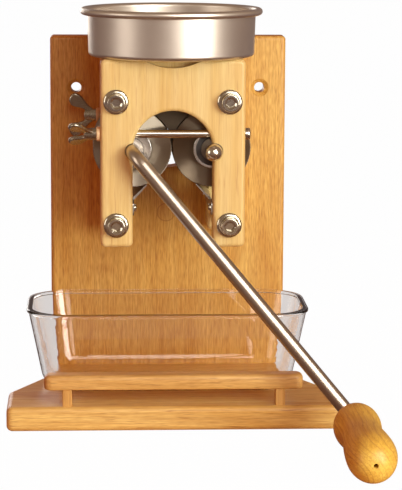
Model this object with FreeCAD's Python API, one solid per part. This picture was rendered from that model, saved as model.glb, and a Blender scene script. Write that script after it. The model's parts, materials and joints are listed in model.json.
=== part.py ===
import FreeCAD, Part
import math
import os

# Hand crank grain flaker: two horizontal steel rollers between two wooden fork plates on an
# upright board, a steel hopper above, a glass dish below.
# Millimetres.  X to the right, Y to the back, Z up.  The origin lies on the underside of the
# base, under the front face of the back board, on the middle line of the rollers.

# ---- driving dimensions ------------------------------------------------------------------

# base and back board
BASE_T = 18.0              # thickness of the base
BASE_FRONT = 139.0         # from the board's front face to the front edge of the base
BASE_HALF = 122.0          # half width of the wide front part
BASE_CHAMFER_START = 86.0  # distance in front of the board where the slanted sides begin
BASE_CHAMFER_END = 24.0    # distance in front of the board where they end
BASE_ROUND = 4.5           # rounding along the top and bottom edges
BOARD_T = 18.0
BOARD_HALF = 91.0
BOARD_TOP = 278.0
BOARD_ROUND = 3.0
WALL_HOLE_X = 71.0         # hanging holes, from the middle line
WALL_HOLE_Z = 238.0
WALL_HOLE_R = 4.0
WALL_HOLE_SINK_R = 7.0
WALL_HOLE_SINK_DEPTH = 3.0
WINDOW_R = 25.0            # round hole in the board behind the rollers

# fork plates
FRONT_PLATE_T = 20.0
REAR_PLATE_T = 24.0
PLATE_HALF = 53.0
PLATE_BOTTOM = 130.0
PLATE_TOP = 268.0
PLATE_ROUND = 3.0
PLATE_CORNER_R = 4.0
ARCH_R = 29.4
SCOOP_HALF = 32.0          # the scoop in the front plate's top is a bell of three equal arcs
SCOOP_DEPTH = 6.3
SCOOP_REACH = 8.0          # how far the scoop goes into the front plate
FRONT_PLATE_Y = -104.0     # front face of the front plate
FRONT_PLATE_BACK = FRONT_PLATE_Y + FRONT_PLATE_T
REAR_PLATE_Y = -REAR_PLATE_T

# plate screws, M8 socket heads with washers, spacer tubes between the plates
SCREW_X = 41.5
SCREW_TOP_Z = 237.0
SCREW_BOTTOM_Z = 146.3
SCREW_R = 4.0
SCREW_HEAD_R = 6.5
SCREW_HEAD_H = 8.0
SCREW_SOCKET_AF = 6.0
SCREW_SOCKET_DEPTH = 4.5
SCREW_SINK_R = 4.4         # countersink of the socket
SCREW_SINK_DEPTH = 0.9
SCREW_LENGTH = 120.0
SCREW_HOLE_R = 4.2
WASHER_R = 9.2
WASHER_T = 1.6
WASHER_FLAT_R = 6.9        # a front washer is flat inside this and domed outside it
WASHER_RIM_T = 0.5
WASHER_RISE = 0.27         # how far the dome stands out beyond a straight slope
TUBE_R = 6.0
NUT_AF = 13.0
NUT_H = 6.5
NUT_ROUND_R = 7.9          # sphere that rounds the nuts' corners
NUT_POCKET_R = 10.0
NUT_POCKET_DEPTH = 11.0

# rollers and shafts
AXLE_X = 29.3              # roller axes, from the middle line
AXLE_Z = 201.0
SHAFT_R = 5.25            # the crank's bar and the second shaft
ROLLER_R = 29.1
ROLLER_FRONT = -82.0
ROLLER_REAR = -26.0
ROLLER_EDGE = 0.5
GROOVE_COUNT = 72          # fine grooves along each roller
GROOVE_R = 0.35
SHAFT_REAR = -3.0
KEY_W = 4.0
KEY_LENGTH = 40.0
BALL_R = 6.5
BALL_CENTRE_Y = -112.0
BALL_NECK_R = 2.5

# ball bearings, 28 wide and 8 deep, on both shafts
BEARING_R = 14.0
BEARING_W = 8.0
RACE_OUTER_R = 12.0
RACE_INNER_R = 8.1
BALL_PITCH_R = 10.0
BEARING_BALL_R = 2.38
RACE_GROOVE_R = 2.43
BEARING_BALLS = 8
SEAL_T = 0.6
SEAL_INSET = 0.3
SPACER_R = 8.1
NOTCH_R = 5.9              # clearance hole for a shaft, half of it in the leg's inner edge
SLIDE_OUT = 1.5            # the second roller opens this far from its rest place
SLIDE_GAP = 0.3            # room round the sliding bearings and rods

# crank bar and grip
CRANK_CORNER_Y = -118.0    # where shaft and arm would meet with no bend
CRANK_RAKE = 60.0          # the arm leans forward by this much over its length
CRANK_THROW = 240.0
CRANK_REST_DEG = -49.65    # direction of the arm at rest, from +X towards +Z
CRANK_BEND_R = 14.0
SPINDLE_R = 4.0
GRIP_GAP = 0.6             # between the bar's shoulder and the grip
GRIP_LENGTH = 118.0
GRIP_BORE_DEPTH = 88.0
SPINDLE_LENGTH = 84.0
GRIP_BORE_PLAY = 0.08
RING_FROM_END = 6.0
RING_T = 1.0
RING_R = 6.0
GRIP_END_HOLE_R = 1.6

# gap adjuster: two M6 rods through the plates with wing nuts on the left
ROD_R = 3.0
FRONT_ROD = (-96.0, 213.0) # y and z of the front rod's axis
REAR_ROD = (-18.5, 219.0)  # above the bearings, and clear of the board for its wing nut to turn
ROD_LEFT = -65.0
ROD_HEAD_R = 4.5
ROD_HEAD_T = 3.4
ROD_HEAD_ROUND = 1.6
ROD_BREAK = 0.6
ADJ_WASHER_R = 5.4
ADJ_WASHER_T = 3.0
ADJ_WASHER_ROUND = 1.2
WING_HUB_R = 4.8
WING_HUB_TIP_R = 4.0
WING_HUB_L = 8.4
WING_SPAN_R = 17.0
WING_BORE_PLAY = 0.05
WING_EAR_OUTLINE = [       # distance out from the hub's foot, and distance from the rod's axis
    (1.5, 1.0), (2.6, WING_HUB_R + 0.6), (7.6, WING_HUB_R + 5.6), (12.2, WING_SPAN_R - 1.3),
    (16.2, WING_SPAN_R), (19.4, WING_SPAN_R - 2.6), (20.2, WING_SPAN_R - 6.2),
    (18.2, WING_SPAN_R - 9.6), (13.2, WING_HUB_R + 1.0), (WING_HUB_L - 1.0, WING_HUB_TIP_R - 1.0)]
WING_EAR_T = 3.2
WING_EAR_ROUND = 1.2
WING_FRONT_TURN = 59.0     # how far each nut is turned about its rod at rest
WING_REAR_TURN = 8.0

# scrapers under the rollers
SCRAPER_T = 1.0
SCRAPER_BEND_Z = 163.0
SCRAPER_FOOT_Z = 153.0
SCRAPER_TIP_X = 18.8
SCRAPER_GAP = 0.35
SCRAPER_SCREW_Z = 158.0
SCRAPER_FLANGE_INSET = 4.0
SCRAPER_BLADE_INSET = 1.0
SMALL_SCREW_R = 1.6
SMALL_HEAD_R = 2.9
SMALL_HEAD_H = 1.9
SMALL_SCREW_L = 12.0
SMALL_POINT_L = 3.0
SMALL_HEAD_ROUND = 0.9
POINT_FLAT_R = 0.3

# hopper, spun sheet steel
HOPPER_Y = -65.0
HOPPER_WALL_TOP_R = 62.5
HOPPER_WALL_FOOT_R = 61.5
HOPPER_SHEET = 1.2
HOPPER_RIM_Z = 301.0
BEAD_R = 2.65
HOPPER_FLAT_R = 34.0       # the floor is flat outside this and falls to the outlet inside it
OUTLET_R = 17.0
OUTLET_FALL = 5.0
OUTLET_FOOT_Z = 250.0
HOPPER_CORNER_R = 3.0
SEAT_PLAY = 0.4            # between the funnel and its seat in the plates
SEAT_OVER = 1.0            # height of the seat's room above the plates

# feed chute between the plates
CHUTE_SHEET = 1.0
CHUTE_HALF = 26.0
CHUTE_TOP = 260.0
CHUTE_KNEE_Z = 243.0
CHUTE_MOUTH_X = 9.5
CHUTE_MOUTH_Z = 225.0
CHEEK_GAP = 0.7            # between a cheek's curved edges and the rollers
CHEEK_TIP_Z = 206.0
CHEEK_TIP_HALF = 17.5
CHUTE_SCREW_X = 18.0
CHUTE_SCREW_Z = 252.0

# glass dish and the rail in front of it
DISH_X = -2.6
DISH_Y = -58.0
DISH_HALF_X = 104.8
DISH_HALF_Y = 52.4
DISH_TOP = 80.4
DISH_CORNER_R = 32.0
DISH_FLARE = 12.4          # how much the wall leans out from foot to rim
DISH_WALL = 3.4
DISH_FOOT_R = 16.0
DISH_LIP = 0.8
DISH_LIP_H = 3.0
DISH_LIP_ROUND = 1.3
RAIL_HALF = 94.5
RAIL_FRONT = 137.0
RAIL_DEPTH = 16.0
RAIL_BOTTOM = 30.2
RAIL_TOP = 41.0
RAIL_ROUND = 3.5
RAIL_LOWER_ROUND = 1.5
RAIL_END_R = 6.0
POST_X = 77.8
POST_W = 7.0
POST_DEPTH = 11.0
POST_SETBACK = 2.0
POST_ROUND = 0.8

# countersunk wood screws from below
WOOD_SCREW_R = 2.25
WOOD_SCREW_HEAD_R = 4.4
WOOD_SCREW_HEAD_H = 2.6
BOARD_SCREW_X = 62.0
BOARD_SCREW_L = 50.0
RAIL_SCREW_R = 1.5
RAIL_SCREW_HEAD_R = 3.0
RAIL_SCREW_L = 36.0
POINT_RATIO = 2.5          # length of a wood screw's point over its radius

BIG = 400.0
FRONT_BEARING_Y = FRONT_PLATE_BACK - BEARING_W   # outer face of the front bearings
REAR_BEARING_Y = REAR_PLATE_Y                    # roller side of the rear bearings
AXIS_X = FreeCAD.Vector(1, 0, 0)
AXIS_Y = FreeCAD.Vector(0, 1, 0)
AXIS_Z = FreeCAD.Vector(0, 0, 1)


# ---- helpers -----------------------------------------------------------------------------

def vec(x, y, z):
    return FreeCAD.Vector(x, y, z)


def box(x0, x1, y0, y1, z0, z1):
    return Part.makeBox(x1 - x0, y1 - y0, z1 - z0, vec(x0, y0, z0))


def rod_y(x, z, radius, y0, y1):
    return Part.makeCylinder(radius, y1 - y0, vec(x, y0, z), AXIS_Y)


def rod_x(y, z, radius, x0, x1):
    return Part.makeCylinder(radius, x1 - x0, vec(x0, y, z), AXIS_X)


def rod_z(x, y, radius, z0, z1):
    return Part.makeCylinder(radius, z1 - z0, vec(x, y, z0), AXIS_Z)


def ring_y(x, z, outer, inner, y0, y1):
    return rod_y(x, z, outer, y0, y1).cut(rod_y(x, z, inner, y0 - 1, y1 + 1))


def prism_y(points, y0, y1):
    """Straight prism along Y over a closed outline of (x, z) points."""
    wire = Part.makePolygon([vec(x, y0, z) for x, z in points + points[:1]])
    return Part.Face(wire).extrude(vec(0, y1 - y0, 0))


def prism_z(points, z0, z1):
    wire = Part.makePolygon([vec(x, y, z0) for x, y in points + points[:1]])
    return Part.Face(wire).extrude(vec(0, 0, z1 - z0))


def hexagon_y(x, z, across_flats, y0, y1, turn=0.0):
    radius = across_flats / math.sqrt(3.0)
    corners = []
    for i in range(6):
        angle = math.radians(turn + 60.0 * i)
        corners.append((x + radius * math.cos(angle), z + radius * math.sin(angle)))
    return prism_y(corners, y0, y1)


def edges_in_plane(shape, axis, value, tolerance=1e-3):
    """Edges that lie wholly in the plane axis = value; axis is 'x', 'y' or 'z'."""
    found = []
    for edge in shape.Edges:
        low = getattr(edge.BoundBox, axis.upper() + "Min")
        high = getattr(edge.BoundBox, axis.upper() + "Max")
        if abs(low - value) < tolerance and abs(high - value) < tolerance:
            found.append(edge)
    return found


def edges_along(shape, axis, tolerance=1e-3):
    """Straight edges parallel to an axis vector."""
    found = []
    for edge in shape.Edges:
        if edge.Curve.TypeId == "Part::GeomLine" and edge.Length > tolerance:
            start, end = edge.Vertexes[0].Point, edge.Vertexes[-1].Point
            if (end - start).normalize().cross(axis).Length < tolerance:
                found.append(edge)
    return found


def fuse_all(shapes):
    return shapes[0].multiFuse(shapes[1:]).removeSplitter()


def group(shapes):
    """Several separate solids in one sub-part."""
    solids = []
    for shape in shapes:
        solids.extend(shape.Solids)
    return Part.makeCompound(solids)


def screw_places():
    return [(x, z) for z in (SCREW_TOP_Z, SCREW_BOTTOM_Z) for x in (-SCREW_X, SCREW_X)]


def mirror_x(shape):
    return shape.mirror(vec(0, 0, 0), AXIS_X)


def wood_screw_up(x, y, radius, head_r, head_h, length):
    """Countersunk wood screw standing upright, its head flush with the base's underside."""
    cone = Part.makeCone(head_r, radius, head_h, vec(x, y, 0), AXIS_Z)
    point = POINT_RATIO * radius
    shank = rod_z(x, y, radius, head_h, length - point)
    tip = Part.makeCone(radius, POINT_FLAT_R, point, vec(x, y, length - point), AXIS_Z)
    return fuse_all([cone, shank, tip])


def cross_recess(x, y, size, depth):
    """Two crossing slots in the underside of a screw head."""
    half, slot = size / 2.0, size / 7.0
    return box(x - half, x + half, y - slot, y + slot, -1, depth).fuse(
        box(x - slot, x + slot, y - half, y + half, -1, depth))


# ---- base and back board -----------------------------------------------------------------

def board_screw_shapes():
    screws = []
    for x in (-BOARD_SCREW_X, 0.0, BOARD_SCREW_X):
        screws.append(wood_screw_up(x, BOARD_T / 2.0, WOOD_SCREW_R, WOOD_SCREW_HEAD_R,
                                    WOOD_SCREW_HEAD_H, BOARD_SCREW_L))
    return screws


def rail_screw_shapes():
    screws = []
    for x in (-POST_X, POST_X):
        screws.append(wood_screw_up(x, post_y(), RAIL_SCREW_R, RAIL_SCREW_HEAD_R,
                                    WOOD_SCREW_HEAD_H, RAIL_SCREW_L))
    return screws


def with_recesses(screws, size):
    made = []
    for screw in screws:
        centre = screw.BoundBox.Center
        made.append(screw.cut(cross_recess(centre.x, centre.y, size, 1.5)))
    return group(made)


def base_board():
    right = [(BASE_HALF, -BASE_FRONT), (BASE_HALF, -BASE_CHAMFER_START),
             (BOARD_HALF, -BASE_CHAMFER_END), (BOARD_HALF, BOARD_T)]
    left = [(-x, y) for x, y in reversed(right)]
    body = prism_z(right + left, 0, BASE_T)
    body = body.makeFillet(BASE_ROUND, edges_along(body, AXIS_Z))
    rims = edges_in_plane(body, "z", 0) + edges_in_plane(body, "z", BASE_T)
    rims = [edge for edge in rims if edge.BoundBox.YMin < 0]
    body = body.makeFillet(BASE_ROUND - 0.5, rims)
    for screw in board_screw_shapes() + rail_screw_shapes():
        body = body.cut(screw)
    return body


def back_board():
    body = box(-BOARD_HALF, BOARD_HALF, 0, BOARD_T, BASE_T, BOARD_TOP)
    rims = [edge for edge in body.Edges if edge.BoundBox.ZMax > BASE_T + 1.0]
    body = body.makeFillet(BOARD_ROUND, rims)
    for x in (-WALL_HOLE_X, WALL_HOLE_X):
        body = body.cut(rod_y(x, WALL_HOLE_Z, WALL_HOLE_R, -1, BOARD_T + 1))
        sink = Part.makeCone(WALL_HOLE_SINK_R, WALL_HOLE_R, WALL_HOLE_SINK_DEPTH,
                             vec(x, 0, WALL_HOLE_Z), AXIS_Y)
        body = body.cut(sink)
    body = body.cut(rod_y(0, AXLE_Z, WINDOW_R, -1, BOARD_T + 1))
    for x, z in screw_places():
        body = body.cut(rod_y(x, z, SCREW_HOLE_R, -1, BOARD_T + 1))
        body = body.cut(rod_y(x, z, NUT_POCKET_R, BOARD_T - NUT_POCKET_DEPTH, BOARD_T + 1))
    for screw in board_screw_shapes():
        body = body.cut(screw)
    return body


# ---- fork plates -------------------------------------------------------------------------

def line_xz(a, b, y=0.0):
    return Part.LineSegment(vec(a[0], y, a[1]), vec(b[0], y, b[1])).toShape()


def arc_xz(a, b, c, y=0.0):
    return Part.Arc(vec(a[0], y, a[1]), vec(b[0], y, b[1]), vec(c[0], y, c[1])).toShape()


def plate_outline_face():
    """The fork: straight top, round arch about the roller axes, two straight legs."""
    top_l, top_r = (-PLATE_HALF, PLATE_TOP), (PLATE_HALF, PLATE_TOP)
    foot_l, foot_r = (-PLATE_HALF, PLATE_BOTTOM), (PLATE_HALF, PLATE_BOTTOM)
    in_l, in_r = (-ARCH_R, PLATE_BOTTOM), (ARCH_R, PLATE_BOTTOM)
    spring_l, spring_r = (-ARCH_R, AXLE_Z), (ARCH_R, AXLE_Z)
    edges = [line_xz(foot_l, top_l), line_xz(top_l, top_r), line_xz(top_r, foot_r),
             line_xz(foot_r, in_r), line_xz(in_r, spring_r),
             arc_xz(spring_r, (0, AXLE_Z + ARCH_R), spring_l),
             line_xz(spring_l, in_l), line_xz(in_l, foot_l)]
    return Part.Face(Part.Wire(edges))


def scoop_relief():
    """The room of the bell-shaped relief in the front plate's top."""
    y = FRONT_PLATE_Y - 1.0
    rim_l, rim_r = (-SCOOP_HALF, PLATE_TOP), (SCOOP_HALF, PLATE_TOP)
    flank_l, flank_r = [(side * SCOOP_HALF / 2.0, PLATE_TOP - SCOOP_DEPTH / 2.0) for side in (-1, 1)]
    tilt = 2.0 * math.atan(SCOOP_DEPTH / SCOOP_HALF)
    bend_r = SCOOP_HALF / (2.0 * math.sin(tilt))
    over_x = SCOOP_HALF - bend_r * math.sin(tilt / 2.0)
    over_z = PLATE_TOP - bend_r * (1.0 - math.cos(tilt / 2.0))
    lid_l, lid_r = (-SCOOP_HALF, PLATE_TOP + 1.0), (SCOOP_HALF, PLATE_TOP + 1.0)
    edges = [arc_xz(rim_l, (-over_x, over_z), flank_l, y),
             arc_xz(flank_l, (0, PLATE_TOP - SCOOP_DEPTH), flank_r, y),
             arc_xz(flank_r, (over_x, over_z), rim_r, y),
             line_xz(rim_r, lid_r, y), line_xz(lid_r, lid_l, y), line_xz(lid_l, rim_l, y)]
    return Part.Face(Part.Wire(edges)).extrude(vec(0, SCOOP_REACH + 1.0, 0))


def funnel_seat():
    """The conical room in the plates' tops for the hopper's funnel, with a little play."""
    slope = OUTLET_FALL / (HOPPER_FLAT_R - OUTLET_R)
    depth = slope * HOPPER_FLAT_R
    seat = Part.makeCone(0.0, HOPPER_FLAT_R + SEAT_OVER / slope, depth + SEAT_OVER,
                         vec(0, HOPPER_Y, PLATE_TOP - depth), AXIS_Z)
    seat.translate(vec(0, 0, -SEAT_PLAY))
    return seat


def slot_y(x0, x1, z, radius, y0, y1):
    """Slot along X with round ends, running through from y0 to y1."""
    return fuse_all([rod_y(x0, z, radius, y0, y1), rod_y(x1, z, radius, y0, y1),
                     box(x0, x1, y0, y1, z - radius, z + radius)])


def fork_plate(face_y, back_y, seat_y, rod):
    """Between face_y and back_y; the bearing seats begin at seat_y; rod is an axis (y, z)."""
    body = plate_outline_face().extrude(vec(0, back_y - face_y, 0))
    body.translate(vec(0, face_y, 0))
    outer = [edge for edge in edges_along(body, AXIS_Y)
             if abs(edge.BoundBox.XMin) > PLATE_HALF - 1 or edge.BoundBox.ZMax < PLATE_BOTTOM + 1]
    body = body.makeFillet(PLATE_CORNER_R, outer)
    rims = edges_in_plane(body, "y", face_y) + edges_in_plane(body, "y", back_y)
    body = body.makeFillet(PLATE_ROUND, rims)
    far = AXLE_X + SLIDE_OUT
    cuts = [rod_y(-AXLE_X, AXLE_Z, BEARING_R, seat_y, seat_y + BEARING_W),
            rod_y(-AXLE_X, AXLE_Z, NOTCH_R, face_y - 1, back_y + 1),
            slot_y(AXLE_X, far, AXLE_Z, BEARING_R + SLIDE_GAP, seat_y - SLIDE_GAP,
                   seat_y + BEARING_W + SLIDE_GAP),
            slot_y(AXLE_X, far, AXLE_Z, NOTCH_R, face_y - 1, back_y + 1),
            rod_x(*rod, ROD_R + SLIDE_GAP, -BIG, BIG)]
    for x, z in screw_places():
        cuts.append(rod_y(x, z, SCREW_HOLE_R, face_y - 1, back_y + 1))
    for cut in cuts:
        body = body.cut(cut)
    for screw in scraper_screw_shapes() + chute_screw_shapes():
        body = body.cut(screw)
    return body.cut(funnel_seat())


def front_plate():
    plate = fork_plate(FRONT_PLATE_Y, FRONT_PLATE_BACK, FRONT_BEARING_Y, FRONT_ROD)
    return plate.cut(scoop_relief())


def rear_plate():
    return fork_plate(REAR_PLATE_Y, 0.0, REAR_BEARING_Y, REAR_ROD)


# ---- long screws through both plates and the board ---------------------------------------

def spacer_tubes():
    return group([ring_y(x, z, TUBE_R, SCREW_HOLE_R, FRONT_PLATE_BACK, REAR_PLATE_Y)
                  for x, z in screw_places()])


def domed_washer(x, z):
    """Washer whose front slopes off to a thin rim, like a shallow dome."""

    def at(radius, out):
        return vec(x + radius, FRONT_PLATE_Y - out, z)

    middle = at((WASHER_FLAT_R + WASHER_R) / 2.0 + WASHER_RISE / 2.0,
                (WASHER_T + WASHER_RIM_T) / 2.0 + WASHER_RISE)
    corners = [at(WASHER_R, WASHER_RIM_T), at(WASHER_R, 0), at(SCREW_HOLE_R, 0),
               at(SCREW_HOLE_R, WASHER_T), at(WASHER_FLAT_R, WASHER_T)]
    edges = [Part.LineSegment(a, b).toShape() for a, b in zip(corners, corners[1:])]
    edges.append(Part.Arc(corners[-1], middle, corners[0]).toShape())
    return Part.Face(Part.Wire(edges)).revolve(vec(x, 0, z), AXIS_Y, 360)


def plate_washers():
    return group([domed_washer(x, z) for x, z in screw_places()])


def plate_screws():
    head_y = FRONT_PLATE_Y - WASHER_T
    screws = []
    for i, (x, z) in enumerate(screw_places()):
        head = rod_y(x, z, SCREW_HEAD_R, head_y - SCREW_HEAD_H, head_y)
        head = head.makeFillet(0.8, edges_in_plane(head, "y", head_y - SCREW_HEAD_H))
        socket = hexagon_y(x, z, SCREW_SOCKET_AF, head_y - SCREW_HEAD_H - 1,
                           head_y - SCREW_HEAD_H + SCREW_SOCKET_DEPTH, turn=17.0 * i)
        sink = Part.makeCone(SCREW_SINK_R, SCREW_SOCKET_AF / 2.0, SCREW_SINK_DEPTH,
                             vec(x, head_y - SCREW_HEAD_H, z), AXIS_Y)
        shank = rod_y(x, z, SCREW_R, head_y, head_y + SCREW_LENGTH)
        shank = shank.makeChamfer(0.8, edges_in_plane(shank, "y", head_y + SCREW_LENGTH))
        screws.append(head.fuse(shank).cut(socket).cut(sink).removeSplitter())
    return group(screws)


def back_washers():
    y0 = BOARD_T - NUT_POCKET_DEPTH
    return group([ring_y(x, z, WASHER_R, SCREW_HOLE_R, y0, y0 + WASHER_T)
                  for x, z in screw_places()])


def back_nuts():
    y0 = BOARD_T - NUT_POCKET_DEPTH + WASHER_T
    nuts = []
    for i, (x, z) in enumerate(screw_places()):
        nut = hexagon_y(x, z, NUT_AF, y0, y0 + NUT_H, turn=11.0 * i)
        nut = nut.cut(rod_y(x, z, SCREW_R, y0 - 1, y0 + NUT_H + 1))
        nuts.append(nut.common(Part.makeSphere(NUT_ROUND_R, vec(x, y0 + NUT_H / 2.0, z))))
    return group(nuts)


# ---- bearings ----------------------------------------------------------------------------

def bearing_starts():
    """The lower y of the front and of the rear bearing."""
    return (FRONT_BEARING_Y, REAR_BEARING_Y)


def race_groove(x, y0):
    centre = vec(x, y0 + BEARING_W / 2.0, AXLE_Z)
    return Part.makeTorus(BALL_PITCH_R, RACE_GROOVE_R, centre, AXIS_Y)


def outer_rings(x):
    rings = []
    for y0 in bearing_starts():
        ring = ring_y(x, AXLE_Z, BEARING_R, RACE_OUTER_R, y0, y0 + BEARING_W)
        rims = [edge for edge in ring.Edges if edge.BoundBox.XLength > 2 * BEARING_R - 0.1
                and edge.BoundBox.YLength < 0.01]
        rings.append(ring.makeFillet(0.5, rims).cut(race_groove(x, y0)))
    return group(rings)


def inner_rings(x):
    rings = []
    for y0 in bearing_starts():
        ring = ring_y(x, AXLE_Z, RACE_INNER_R, SHAFT_R, y0, y0 + BEARING_W)
        rings.append(ring.cut(race_groove(x, y0)))
    return group(rings)


def bearing_balls(x):
    balls = []
    for y0 in bearing_starts():
        for i in range(BEARING_BALLS):
            angle = 2.0 * math.pi * i / BEARING_BALLS
            centre = vec(x + BALL_PITCH_R * math.cos(angle), y0 + BEARING_W / 2.0,
                         AXLE_Z + BALL_PITCH_R * math.sin(angle))
            balls.append(Part.makeSphere(BEARING_BALL_R, centre))
    return group(balls)


def bearing_seals(x):
    discs = []
    for y0 in bearing_starts():
        for start in (y0 + SEAL_INSET, y0 + BEARING_W - SEAL_INSET - SEAL_T):
            discs.append(ring_y(x, AXLE_Z, RACE_OUTER_R, RACE_INNER_R + SLIDE_GAP,
                                start, start + SEAL_T))
    return group(discs)


def shaft_spacers(x):
    front = ring_y(x, AXLE_Z, SPACER_R, SHAFT_R, FRONT_PLATE_BACK, ROLLER_FRONT)
    rear = ring_y(x, AXLE_Z, SPACER_R, SHAFT_R, ROLLER_REAR, REAR_PLATE_Y)
    return group([front, rear])


# ---- rollers and shafts ------------------------------------------------------------------

def roller(x):
    """Steel roller with fine grooves along its length."""
    body = rod_y(x, AXLE_Z, ROLLER_R, ROLLER_FRONT, ROLLER_REAR)
    body = body.makeChamfer(ROLLER_EDGE, edges_in_plane(body, "y", ROLLER_FRONT)
                            + edges_in_plane(body, "y", ROLLER_REAR))
    grooves = []
    for i in range(GROOVE_COUNT):
        angle = 2.0 * math.pi * (i + 0.5) / GROOVE_COUNT
        grooves.append(rod_y(x + ROLLER_R * math.cos(angle), AXLE_Z + ROLLER_R * math.sin(angle),
                             GROOVE_R, ROLLER_FRONT - 1, ROLLER_REAR + 1))
    body = body.cut(Part.makeCompound(grooves))
    return body.cut(rod_y(x, AXLE_Z, SHAFT_R, ROLLER_FRONT - 1, ROLLER_REAR + 1))


def key_box():
    """The key's room, half in the shaft and half in the drive roller's bore."""
    middle = (ROLLER_FRONT + ROLLER_REAR) / 2.0
    return box(-AXLE_X - KEY_W / 2.0, -AXLE_X + KEY_W / 2.0,
               middle - KEY_LENGTH / 2.0, middle + KEY_LENGTH / 2.0,
               AXLE_Z + SHAFT_R - KEY_W / 2.0, AXLE_Z + SHAFT_R + KEY_W / 2.0)


def drive_roller():
    return roller(-AXLE_X).cut(key_box())


def idler_roller():
    return roller(AXLE_X)


def ball_back_y():
    """The small flat on the back of the ball, as wide as the shaft's neck."""
    return BALL_CENTRE_Y + math.sqrt(BALL_R ** 2 - BALL_NECK_R ** 2)


def idler_shaft():
    shaft = rod_y(AXLE_X, AXLE_Z, SHAFT_R, ball_back_y(), SHAFT_REAR)
    ends = edges_in_plane(shaft, "y", SHAFT_REAR) + edges_in_plane(shaft, "y", ball_back_y())
    shaft = shaft.makeChamfer(0.8, ends)
    neck = rod_y(AXLE_X, AXLE_Z, BALL_NECK_R, BALL_CENTRE_Y, ball_back_y())
    return shaft.fuse(neck).removeSplitter()


def ball_end():
    ball = Part.makeSphere(BALL_R, vec(AXLE_X, BALL_CENTRE_Y, AXLE_Z))
    return ball.cut(rod_y(AXLE_X, AXLE_Z, BALL_NECK_R, BALL_CENTRE_Y, BALL_CENTRE_Y + 2 * BALL_R))


def crank_corners():
    angle = math.radians(CRANK_REST_DEG)
    upper = vec(-AXLE_X, CRANK_CORNER_Y, AXLE_Z)
    lower = vec(-AXLE_X + CRANK_THROW * math.cos(angle), CRANK_CORNER_Y - CRANK_RAKE,
                AXLE_Z + CRANK_THROW * math.sin(angle))
    return upper, lower


def bend(corner, before, after, radius):
    """The arc that rounds a corner between two unit directions, and its two end points."""
    turn = before.getAngle(after)
    reach = radius * math.tan(turn / 2.0)
    start, end = corner - before * reach, corner + after * reach
    inward = (after - before).normalize()
    middle = corner + inward * (radius / math.cos(turn / 2.0) - radius)
    return Part.Arc(start, middle, end).toShape(), start, end


def crank_path():
    """Shaft, upper bend, arm, lower bend and the start of the spindle, as one wire."""
    upper, lower = crank_corners()
    forward = vec(0, -1, 0)
    along = (lower - upper).normalize()
    bend_a, a0, a1 = bend(upper, forward, along, CRANK_BEND_R)
    bend_b, b0, b1 = bend(lower, along, forward, CRANK_BEND_R)
    tail = vec(-AXLE_X, SHAFT_REAR, AXLE_Z)
    edges = [Part.LineSegment(tail, a0).toShape(), bend_a, Part.LineSegment(a1, b0).toShape(),
             bend_b]
    return Part.Wire(edges), tail, b1


def spindle_start():
    return crank_path()[2]


def crank_bar():
    path, tail, shoulder = crank_path()
    circle = Part.Wire(Part.Circle(tail, AXIS_Y, SHAFT_R).toShape())
    bar = path.makePipeShell([circle], True, False)
    bar = bar.makeChamfer(0.8, edges_in_plane(bar, "y", SHAFT_REAR))
    bar = bar.cut(key_box())
    tip_y = shoulder.y - GRIP_GAP - SPINDLE_LENGTH
    spindle = rod_y(shoulder.x, shoulder.z, SPINDLE_R, tip_y, shoulder.y)
    spindle = spindle.makeChamfer(0.6, edges_in_plane(spindle, "y", tip_y))
    ring_y0 = tip_y + RING_FROM_END
    groove = ring_y(shoulder.x, shoulder.z, SPINDLE_R + 1, SPINDLE_R - 1,
                    ring_y0, ring_y0 + RING_T)
    return bar.fuse(spindle.cut(groove)).removeSplitter()


def drive_key():
    return key_box()


# ---- grip --------------------------------------------------------------------------------

def grip_profile_points():
    """(distance from the rear end, radius) along the turned outline."""
    return [(0.0, 12.2), (3.0, 14.6), (9.0, 16.4), (15.0, 16.8), (26.0, 16.0), (39.0, 14.8),
            (52.0, 14.9), (70.0, 16.2), (87.0, 17.1), (98.0, 16.9), (107.0, 15.0),
            (113.5, 11.4), (117.0, 6.6), (GRIP_LENGTH, 0.0)]


def grip():
    start = spindle_start()
    rear = start.y - GRIP_GAP
    points = [vec(start.x + r, rear - s, start.z) for s, r in grip_profile_points()]
    curve = Part.BSplineCurve()
    curve.interpolate(points)
    axis_rear, axis_front = vec(start.x, rear, start.z), points[-1]
    edges = [curve.toShape(), Part.LineSegment(axis_front, axis_rear).toShape(),
             Part.LineSegment(axis_rear, points[0]).toShape()]
    body = Part.Face(Part.Wire(edges)).revolve(axis_rear, AXIS_Y, 360)
    bore = rod_y(start.x, start.z, SPINDLE_R + GRIP_BORE_PLAY, rear - GRIP_BORE_DEPTH, rear + 1)
    ring_front = rear - SPINDLE_LENGTH + RING_FROM_END
    room = rod_y(start.x, start.z, RING_R + SLIDE_GAP, ring_front - SLIDE_GAP,
                 ring_front + RING_T + SLIDE_GAP)
    hole = rod_y(start.x, start.z, GRIP_END_HOLE_R, rear - GRIP_LENGTH - 1,
                 rear - GRIP_BORE_DEPTH - 8.0)
    return body.cut(bore).cut(room).cut(hole)


def grip_ring():
    start = spindle_start()
    y0 = start.y - GRIP_GAP - SPINDLE_LENGTH + RING_FROM_END
    ring = ring_y(start.x, start.z, RING_R, SPINDLE_R - 1.0, y0, y0 + RING_T)
    return ring.cut(box(start.x - 1.2, start.x + 1.2, y0 - 1, y0 + RING_T + 1,
                        start.z - RING_R - 1, start.z))


# ---- gap adjuster ------------------------------------------------------------------------

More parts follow.
